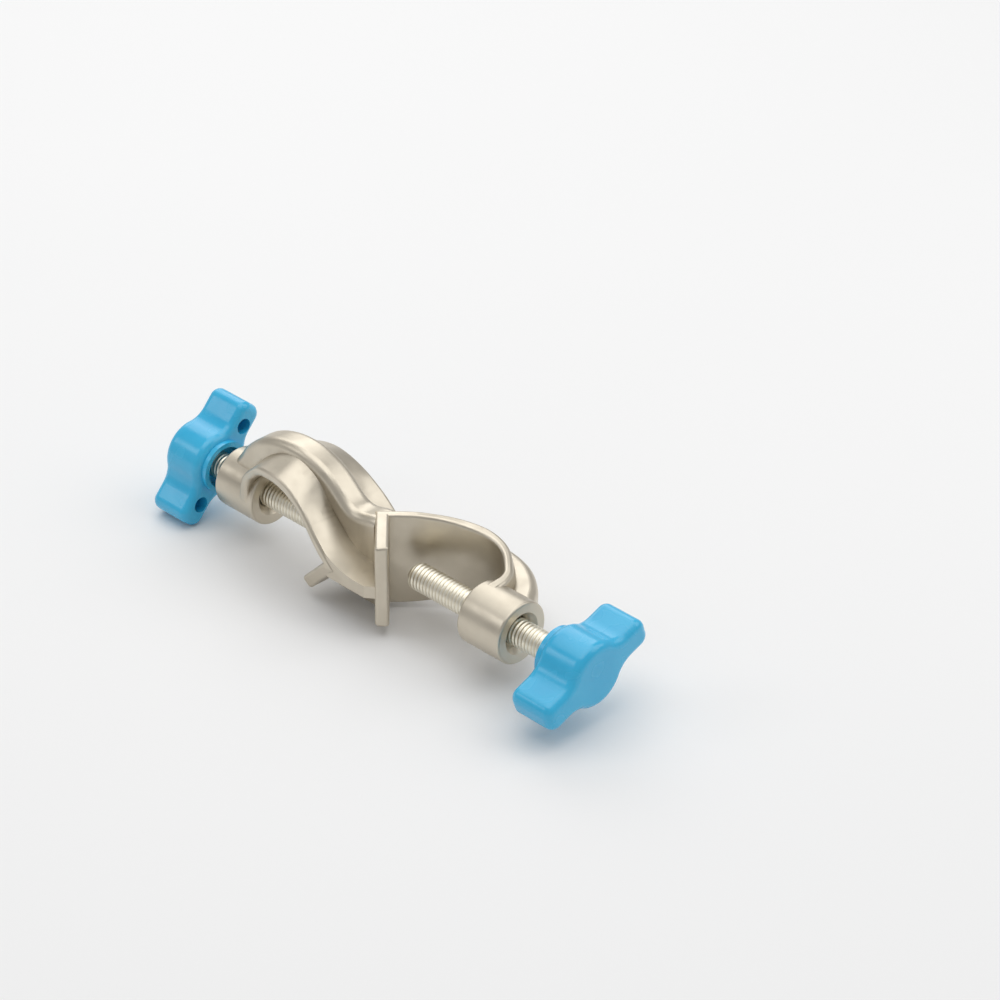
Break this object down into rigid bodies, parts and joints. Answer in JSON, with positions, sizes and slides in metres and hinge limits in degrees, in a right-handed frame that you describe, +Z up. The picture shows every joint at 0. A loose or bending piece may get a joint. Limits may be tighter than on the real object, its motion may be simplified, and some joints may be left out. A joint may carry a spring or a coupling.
{
  "type": "boss head clamp",
  "caption": "Double boss head for laboratory stands: a cast body with two hooked V jaws at right angles, each closed by a thumbscrew with a moulded wing knob.",
  "frame": {"origin": "on the shared axis of the two screws, in the inner corner of the upright-rod jaw's V, halfway up it", "axes": "+X along the screw axis towards the upright-rod jaw's knob, +Z up along the upright rod, +Y away from the upright-rod jaw's mouth and along the cross rod"},
  "size_m": [0.1639, 0.043, 0.04],
  "materials": {
    "casting": "satin, nickel coloured",
    "screw": "zinc plated",
    "knob": "glossy moulded"
  },
  "bodies": {
    "casting": {"clamp_body": "casting"},
    "right_thumbscrew": {"right_screw": "screw"},
    "right_wing": {"right_knob": "knob"},
    "left_thumbscrew": {"left_screw": "screw"},
    "left_wing": {"left_knob": "knob"}
  },
  "joints": [
    {"name": "right_screw_travel", "type": "slide", "parent": "casting", "child": "right_thumbscrew", "axis": [1, 0, 0], "range_m": [-0.00625, 0.025]},
    {"name": "right_knob_turn", "type": "hinge", "parent": "right_thumbscrew", "child": "right_wing", "pos_m": [0.0648, 0, 0], "axis": [1, 0, 0], "range_deg": [-1800, 7200]},
    {"name": "left_screw_travel", "type": "slide", "parent": "casting", "child": "left_thumbscrew", "axis": [-1, 0, 0], "range_m": [0, 0.03125]},
    {"name": "left_knob_turn", "type": "hinge", "parent": "left_thumbscrew", "child": "left_wing", "pos_m": [-0.0699, 0, 0], "axis": [-1, 0, 0], "range_deg": [0, 9000]}
  ],
  "couplings": [
    {"joint": "right_knob_turn", "follows": "right_screw_travel", "rad_per_m": 5026.5},
    {"joint": "left_knob_turn", "follows": "left_screw_travel", "rad_per_m": 5026.5}
  ]
}
